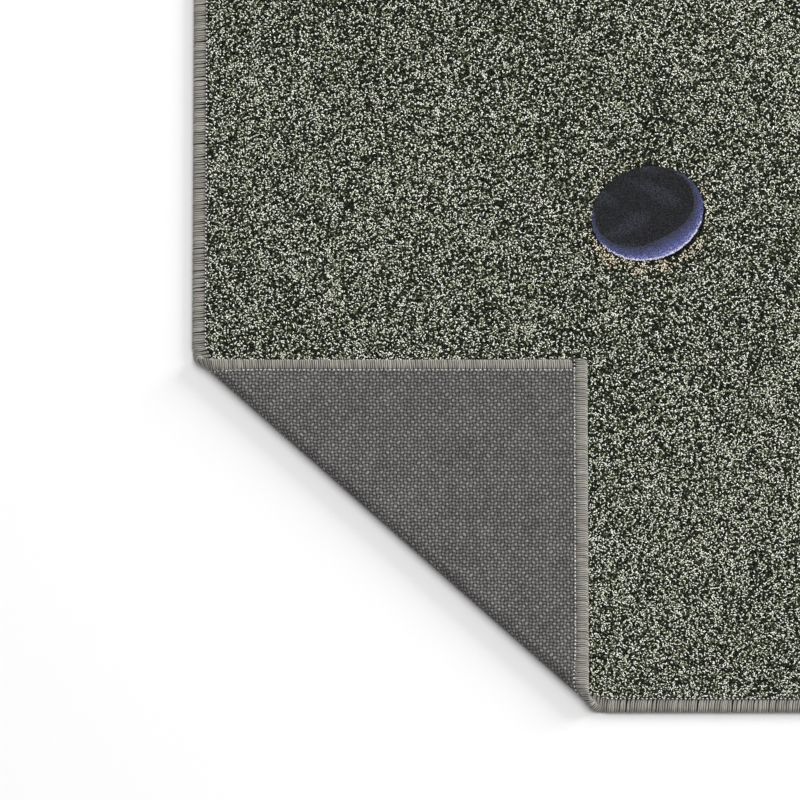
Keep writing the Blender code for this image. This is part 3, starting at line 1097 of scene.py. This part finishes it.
def plies(run, centres, side, rng):
    """Ridges round the edge: points (n, 12, 3, 3) for a low side, the crest, and a low side.

    Each is the outline, moved along the run by its side of the stitch and its lean, pushed out or in
    where the corner, the bunches and the swelling of the fold ask for it."""
    count = len(centres)
    steps = len(outline_inset)
    jitter = rng.uniform(-0.00018, 0.00018, (count, 1))
    slant = leaning * rng.uniform(0.6, 1.4, (count, 1))
    middle = centres[:, None] + side[:, None] * ply_spacing * drawn_in + slant + jitter
    wide = ply_spacing * 1.08 * drawn_in * rng.uniform(0.90, 1.10, (count, 1))
    along = middle[:, :, None] + wide[:, :, None] * np.array([-1.0, 0.0, 1.0])
    sunk = np.empty((count, steps, 3))
    sunk[:] = tucked_in[None, :, None]
    sunk[:, :, [0, 2]] += ply_depth
    sunk[:, :, 1] += rng.uniform(0.0, 0.00030, (count, 1))
    pull = corner_pull(run, centres)[:, None, None]
    squeeze = (chain_end - outline_inset) / chain_end
    inset = outline_inset[None, :, None] - sunk * outline_normal[None, :, None, 0]
    beside = place_on_run(run, centres, np.zeros(count), np.zeros(count))
    on_back, on_face = (bunched(beside, on_face=face)[:, None, None] for face in (False, True))
    share = np.clip(outline_inset / chain_end, 0.0, 1.0)[None, :, None] ** 1.5
    back_half = (np.arange(steps) < steps // 2)[None, :, None]
    inset = inset + pull * squeeze[None, :, None] + np.where(back_half, on_back, on_face) * share
    height = outline_height[None, :, None] - sunk * outline_normal[None, :, None, 1]
    height = height + np.where(back_half, 0.0, 0.10 * on_face) * share
    dome = np.clip(1.0 - (outline_inset / chain_end) ** 2, 0.0, 1.0)[None, :, None]
    fat = fold_bulge * bell(past_hinge(beside) - (roll_start + roll_end) / 2.0, 0.009)
    height = height - fat[:, None, None] * dome * np.where(back_half, 1.0, 0.4)
    length = edge_run[run]["length"]
    return place_on_run(run, np.clip(along, 0.0003, length - 0.0003), inset, height)


# %% The wraps that close a run at a corner
closing = np.array([0.0, 0.25, 0.50, 0.75, 0.985])
beyond_last = np.array([1.5, 0.5, 0.9, 0.3, 0.6]) / 1000.0


def end_plies(run):
    """Two ridges over each end of a run, as points (4, 12, 3, 3).

    The outline closes on its own middle line, by the closing share, as it nears the end of the
    run, so the ridges lie one inside the other and leave no hole. They reach in as far as the
    first ply of the next run."""
    share = closing[None, :]
    reaching = np.where(outline_inset < chain_end, outline_inset, hem_width + 0.0010)
    inset = reaching[:, None] + share * np.maximum(edge_radius - outline_inset, 0.0)[:, None]
    height = edge_radius + (outline_height[:, None] - edge_radius) * (1.0 - share)
    squeeze = (chain_end - outline_inset[:, None]) / chain_end
    inset = inset + corner_pull(run, beyond_last)[None, :] * 0.6 * squeeze
    near = place_on_run(run, np.broadcast_to(beyond_last, inset.shape), inset, height)
    at_far_end = np.broadcast_to(edge_run[run]["length"] - beyond_last, inset.shape)
    far = place_on_run(run, at_far_end, inset, height)
    return np.stack([near[:, [4, 3, 2]], near[:, [2, 1, 0]], far[:, [0, 1, 2]], far[:, [2, 3, 4]]])


print(f"{len(end_plies('front'))} ridges close the two ends of a run")

# %% Mix the edge yarn's finish, with painted shade at the sides and ends of each ply
edge_yarn = Finish("edge_yarn", roughness=0.8, sheen=0.2)
crest = edge_yarn.attribute("crest")
tone = edge_yarn.attribute("tone")
fine = edge_yarn.noise(edge_yarn.attribute("ply", output="Vector"), 1.0, 2.0)
fibres = edge_yarn.node("ShaderNodeMapRange", None, {"Value": fine, "From Min": 0.3, "From Max": 0.7})
# painted shade: each ply runs from near black at its low sides to light at its crest, and ply_light dims
# the crest near the chain
greige_with_painted_shade = edge_yarn.mixed(crest, paint(38, 36, 32), paint(184, 181, 170))
edge_yarn.colour(edge_yarn.toned(greige_with_painted_shade, (0.66 + 0.34 * tone) * (0.55 + 0.65 * fibres)))
edge_yarn.bump(fine, 0.5, 0.0003)
print("edge yarn mixed")

# %% The faces and the picture of a ply
ply_points = 12 * 3
ply_grid = np.arange(ply_points).reshape(12, 3)
ply_faces = np.stack(
    [ply_grid[:-1, :-1], ply_grid[:-1, 1:], ply_grid[1:, 1:], ply_grid[1:, :-1]], axis=2
).reshape(-1, 4)


def ply_chart(count):
    """Gives every ply its own cell of a square picture."""
    cells = math.ceil(math.sqrt(count))
    number = np.arange(count)
    across, up = np.meshgrid([0.1, 0.5, 0.9], np.linspace(0.06, 0.94, 12))
    left = ((number % cells)[:, None, None] + across) / cells
    bottom = ((number // cells)[:, None, None] + up) / cells
    return np.stack([left, bottom], axis=3)


def piece_name(title, run, part):
    """A name such as edge_yarn_front_roll_2."""
    return f"{title}_{run}" if part == 0 else f"{title}_{run}_{part_names[part]}"


print(f"{len(ply_faces)} squares to a ply")

# %% Wrap the edge, run by run
stitch_places = {}
corner_middle = 0.002  # where along a run its closing wraps are counted to be
edge_blend_height = 0.0035
for run, facts in edge_run.items():
    butt = hem_width + 0.0003 if run in ("left", "right") else 0.0008
    room = facts["length"] - 2.0 * butt
    number = int(room // stitch)
    places = butt + (np.arange(number) + 0.5) * room / number
    stitch_places[run] = places
    centres = np.repeat(places, 2)
    side = np.tile([-1.0, 1.0], number)
    points = plies(run, centres, side, rng)
    spread = rng.random(len(centres))
    if run in ("front", "far"):
        points = np.concatenate([points, end_plies(run)])
        centres = np.append(centres, np.repeat([corner_middle, facts["length"] - corner_middle], 2))
        spread = np.append(spread, [0.4, 0.6, 0.6, 0.4])
    middle = place_on_run(run, centres, np.full(len(centres), 0.006), np.zeros(len(centres)))
    parts = part_of_fold(middle)
    for part in np.unique(parts):
        chosen = np.flatnonzero(parts == part)
        picked = points[chosen]
        faces = (np.arange(len(chosen))[:, None, None] * ply_points + ply_faces).reshape(-1, 4)
        if inside_on_left(run):
            faces = faces[:, ::-1]
        # painted shade: crest is 0 at a ply's low sides and ply_light along its middle
        crest = np.array([0.0, 1.0, 0.0]) * ply_light[:, None] + np.zeros(picked.shape[:3])
        ply = np.stack([
            np.broadcast_to(np.array([-2.0, 0.0, 2.0]), picked.shape[:3]),
            np.broadcast_to(np.linspace(0.0, 4.0, 12)[:, None], picked.shape[:3]),
            np.broadcast_to(chosen[:, None, None] * 3.7, picked.shape[:3]),
        ], axis=3)
        carried = {
            "crest": crest.ravel(),
            "tone": np.repeat(spread[chosen], ply_points),
            "ply": ply.reshape(-1, 3),
        }
        piece = make_piece(
            piece_name("edge_yarn", run, part), fold(picked.reshape(-1, 3)), faces, edge_yarn,
            carried, ply_chart(len(chosen)).reshape(-1, 2),
        )
        attach(piece, int(part), edge_blend_height)
        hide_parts(f"{replaced_body[part]}_{run}_binding")
    print(f"{run}: {number} stitches, {room / number * 1000:.2f} mm apart")

# %% [markdown]
# ### The chain stitch
#
# The lock thread shows as a row of small pale loops where the plies end, on both faces. A loop this
# small reads as a bead, so each is a stretched ball of fourteen points and twenty-four triangles, set a
# little askew.

# %% Shape the loops of the chain
half_long, half_wide, half_high = 0.00125, 0.00085, 0.00070
around = np.arange(6) * math.tau / 6.0
ring = np.column_stack([np.cos(around), np.sin(around)])
bead_points = np.concatenate([
    [[-1.0, 0.0, 0.0]],
    np.column_stack([np.full(6, -0.5), ring * 0.87]),
    np.column_stack([np.full(6, 0.5), ring * 0.87]),
    [[1.0, 0.0, 0.0]],
])
after = (np.arange(6) + 1) % 6
bead_faces = np.concatenate([
    np.column_stack([np.zeros(6, int), after + 1, np.arange(6) + 1]),
    np.column_stack([np.arange(6) + 1, after + 1, after + 7]),
    np.column_stack([np.arange(6) + 1, after + 7, np.arange(6) + 7]),
    np.column_stack([np.full(6, 13), np.arange(6) + 7, after + 7]),
])


def beads(run, centres, height, askew, on_face, rng):
    """Stretched balls at distances along a run, on the chain's line, as points (n, 14, 3)."""
    beside = place_on_run(run, centres, np.zeros(len(centres)), np.zeros(len(centres)))
    further_in = bunched(beside, on_face)[:, None]
    count = len(centres)
    slant = askew + rng.uniform(-0.12, 0.12, count)[:, None]
    size = rng.uniform(0.9, 1.1, (count, 1))
    forward = bead_points[:, 0] * half_long * size
    aside = bead_points[:, 1] * half_wide * size
    along = centres[:, None] + forward * np.cos(slant) - aside * np.sin(slant)
    chain_inset = (thread_low[0] + thread_high[0]) / 2.0 - low[0]
    inset = chain_inset + further_in + forward * np.sin(slant) + aside * np.cos(slant)
    height = height + 0.10 * further_in * on_face + bead_points[:, 2] * half_high * size
    return place_on_run(run, along, inset, height)


print(f"{len(bead_faces)} triangles to a loop")

# %% Mix the lock thread's finish, with painted shade at the ends of each loop
lock_thread = Finish("lock_thread", roughness=0.7, sheen=0.1)
shade = lock_thread.attribute("shade")
crest = lock_thread.attribute("crest")
# painted shade: each loop darkens towards its two ends, where it dips under the next; shade is a random
# tone for each loop
tone_and_painted_shade = (0.45 + 0.55 * shade) * (0.2 + 0.8 * crest)
lock_thread.colour(lock_thread.mixed(tone_and_painted_shade, paint(84, 84, 86), paint(236, 235, 232)))
print("lock thread mixed")

# %% Sew the chain down on both faces
bead_size = len(bead_points)
for run, places in stitch_places.items():
    count = len(places)
    on_back = beads(run, places, 0.00020, 0.25, False, rng)
    on_face = beads(run, places + leaning[-1], 0.00690, -0.25, True, rng)
    points = np.concatenate([on_back, on_face])
    shade = rng.random(2 * count)
    # painted shade: crest falls from 1 in the middle of a loop to 0 at its ends
    crest = 1.0 - np.abs(bead_points[:, 0]) ** 2
    middle = place_on_run(run, places, np.full(count, 0.0135), np.zeros(count))
    parts = np.tile(part_of_fold(middle), 2)
    for part in np.unique(parts):
        chosen = np.flatnonzero(parts == part)
        faces = (np.arange(len(chosen))[:, None, None] * bead_size + bead_faces).reshape(-1, 3)
        if not inside_on_left(run):
            faces = faces[:, ::-1]
        shades = np.repeat(shade[chosen], bead_size)
        crests = np.tile(crest, len(chosen))
        wiggle = np.tile(bead_points[:, 1] * 0.02, len(chosen))
        chart = np.column_stack([0.05 + 0.9 * shades + wiggle, 0.05 + 0.9 * crests])
        piece = make_piece(
            piece_name("chain_stitch", run, part), fold(points[chosen].reshape(-1, 3)), faces,
            lock_thread, {"shade": shades, "crest": crests}, chart,
        )
        attach(piece, int(part), edge_blend_height)
        body = replaced_body[part]
        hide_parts(f"{body}_{run}_face_thread", f"{body}_{run}_back_thread")
print(f"{sum(len(places) for places in stitch_places.values())} stitches round the mat")

# %% [markdown]
# ## Count the triangles
#
# The looks may stand a little proud of the CAD model but never change its size.

# %% Count the triangles
largest = max(triangles, key=triangles.get)
print(f"{len(triangles)} pieces, {sum(triangles.values())} triangles in all")
print(f"{largest} has the most, {triangles[largest]}")
